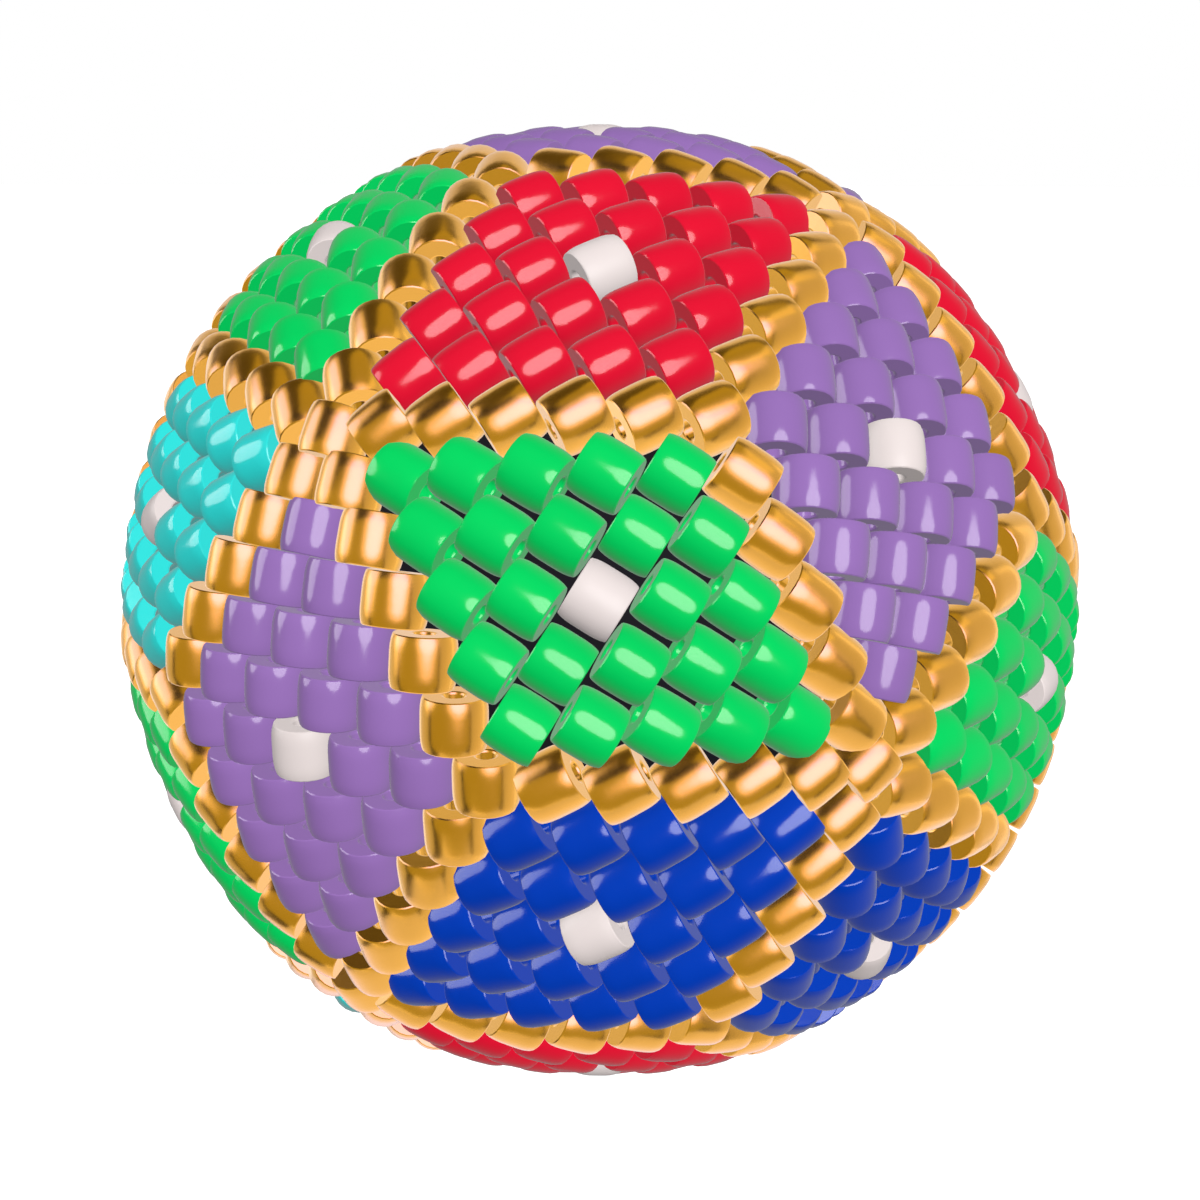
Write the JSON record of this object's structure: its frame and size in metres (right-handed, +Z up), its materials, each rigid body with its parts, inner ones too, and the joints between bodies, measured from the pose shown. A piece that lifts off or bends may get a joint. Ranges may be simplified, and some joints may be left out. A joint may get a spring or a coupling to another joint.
{
  "type": "beaded peyote stitch ball",
  "caption": "Ball stitched from cylinder beads in peyote stitch: coloured diamond panels joined by gold rows over a dark inner ball.",
  "frame": {"origin": "under the ball's centre, on the flat spot it rests on", "axes": "+Z up, out of the resting surface through the ball's centre; -Y towards the viewer of the front; +X to the viewer's right"},
  "size_m": [0.0296, 0.029, 0.0285],
  "materials": {
    "gold_beads": "polished gold plated beads",
    "green_beads": "opaque glossy glass beads with a white bead in the middle",
    "red_beads": "opaque glossy glass beads with a white bead in the middle",
    "purple_beads": "opaque glossy glass beads with a white bead in the middle",
    "blue_beads": "opaque glossy glass beads with a white bead in the middle",
    "turquoise_beads": "opaque glossy glass beads with a white bead in the middle",
    "dark_ball": "dark painted, matt"
  },
  "bodies": {
    "root": {"gold_star_01": "gold_beads", "gold_star_02": "gold_beads", "gold_star_03": "gold_beads", "gold_star_04": "gold_beads", "gold_star_05": "gold_beads", "gold_star_06": "gold_beads", "gold_star_07": "gold_beads", "gold_star_08": "gold_beads", "gold_star_09": "gold_beads", "gold_star_10": "gold_beads", "gold_star_11": "gold_beads", "gold_star_12": "gold_beads", "inner_ball": "dark_ball", "panel_01_purple": "purple_beads", "panel_02_red": "red_beads", "panel_03_purple": "purple_beads", "panel_04_turquoise": "turquoise_beads", "panel_05_green": "green_beads", "panel_06_purple": "purple_beads", "panel_07_red": "red_beads", "panel_08_red": "red_beads", "panel_09_blue": "blue_beads", "panel_10_green": "green_beads", "panel_11_turquoise": "turquoise_beads", "panel_12_blue": "blue_beads", "panel_13_turquoise": "turquoise_beads", "panel_14_green": "green_beads", "panel_15_red": "red_beads", "panel_16_purple": "purple_beads", "panel_17_purple": "purple_beads", "panel_18_blue": "blue_beads", "panel_19_blue": "blue_beads", "panel_20_turquoise": "turquoise_beads", "panel_21_green": "green_beads", "panel_22_blue": "blue_beads", "panel_23_turquoise": "turquoise_beads", "panel_24_green": "green_beads", "panel_25_red": "red_beads", "panel_26_red": "red_beads", "panel_27_green": "green_beads", "panel_28_blue": "blue_beads", "panel_29_turquoise": "turquoise_beads", "panel_30_purple": "purple_beads"}
  },
  "joints": []
}
